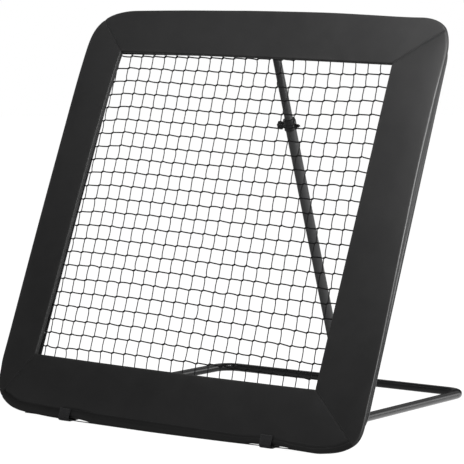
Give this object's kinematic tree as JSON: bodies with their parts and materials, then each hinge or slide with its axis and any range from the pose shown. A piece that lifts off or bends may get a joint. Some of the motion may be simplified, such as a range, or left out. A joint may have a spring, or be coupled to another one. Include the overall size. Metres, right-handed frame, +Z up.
{
  "type": "ball rebounder",
  "caption": "Leaning padded square tube frame that holds a knotted net on springs, hinged to a U-shaped tube base and propped by a telescopic strut with a clamp knob.",
  "frame": {"origin": "centre of the footprint, on the floor", "axes": "+X to the right seen from the net's front, +Y to the back, +Z up"},
  "size_m": [1.24, 0.9708, 1.1577],
  "materials": {
    "black_tube": "gloss",
    "zinc_hardware": "satin",
    "vinyl_cover": "satin",
    "foam_core": "matte",
    "webbing": "matte",
    "net_cord": "matte",
    "black_plastic": "satin",
    "brass_insert": "satin"
  },
  "bodies": {
    "base": {"base_left": "black_tube", "base_right": "black_tube", "base_joint_sleeve": "zinc_hardware", "base_joint_screws": "zinc_hardware", "hinge_tongues": "black_tube", "foot_fork": "black_tube", "foot_bolt": "zinc_hardware", "foot_nut": "zinc_hardware"},
    "frame": {"frame_upper_bow": "black_tube", "frame_lower_bow": "black_tube", "frame_joint_sleeves": "zinc_hardware", "frame_joint_screws": "zinc_hardware", "hinge_fork_left": "black_tube", "hinge_fork_right": "black_tube", "hinge_bolts": "zinc_hardware", "hinge_washers": "zinc_hardware", "hinge_nuts": "zinc_hardware", "top_fork": "black_tube", "top_bolt": "zinc_hardware", "top_nut": "zinc_hardware", "pad_cover_top": "vinyl_cover", "pad_cover_bottom": "vinyl_cover", "pad_cover_left": "vinyl_cover", "pad_cover_right": "vinyl_cover", "foam_top": "foam_core", "foam_bottom": "foam_core", "foam_left": "foam_core", "foam_right": "foam_core", "strap_bottom_left": "webbing", "strap_bottom_right": "webbing", "straps_top": "webbing", "net": "net_cord", "net_border": "webbing", "border_eyelets": "zinc_hardware", "springs": "zinc_hardware"},
    "strut_lower": {"strut_lower_tube": "black_tube", "strut_foot_tongue": "black_tube", "guide_bush": "black_plastic", "clamp_collar": "black_plastic", "collar_bolt": "zinc_hardware", "collar_rivets": "zinc_hardware", "collar_insert": "brass_insert"},
    "strut_upper": {"strut_upper_tube": "black_tube", "strut_top_tongue": "black_tube", "inner_bush": "black_plastic"},
    "knob": {"clamp_knob": "black_plastic", "knob_stud": "zinc_hardware"}
  },
  "joints": [
    {"name": "frame_tilt", "type": "hinge", "parent": "base", "child": "frame", "pos_m": [0, -0.4181, 0.0447], "axis": [1, 0, 0], "range_deg": [-12, 12]},
    {"name": "strut_swing", "type": "hinge", "parent": "base", "child": "strut_lower", "pos_m": [0, 0.46135, 0.04451], "axis": [1, 0, 0], "range_deg": [-9, 9]},
    {"name": "strut_slide", "type": "slide", "parent": "strut_lower", "child": "strut_upper", "axis": [0, -0.3373, 0.9414], "range_m": [-0.178, 0.178]},
    {"name": "knob_turn", "type": "hinge", "parent": "strut_lower", "child": "knob", "pos_m": [-0.033, 0.1831, 0.8212], "axis": [-1, 0, 0], "range_deg": [0, 540]}
  ],
  "couplings": [
    {"joint": "strut_swing", "follows": "frame_tilt", "ratio": 0.7345},
    {"joint": "strut_slide", "follows": "frame_tilt", "m_per_rad": 0.826}
  ]
}
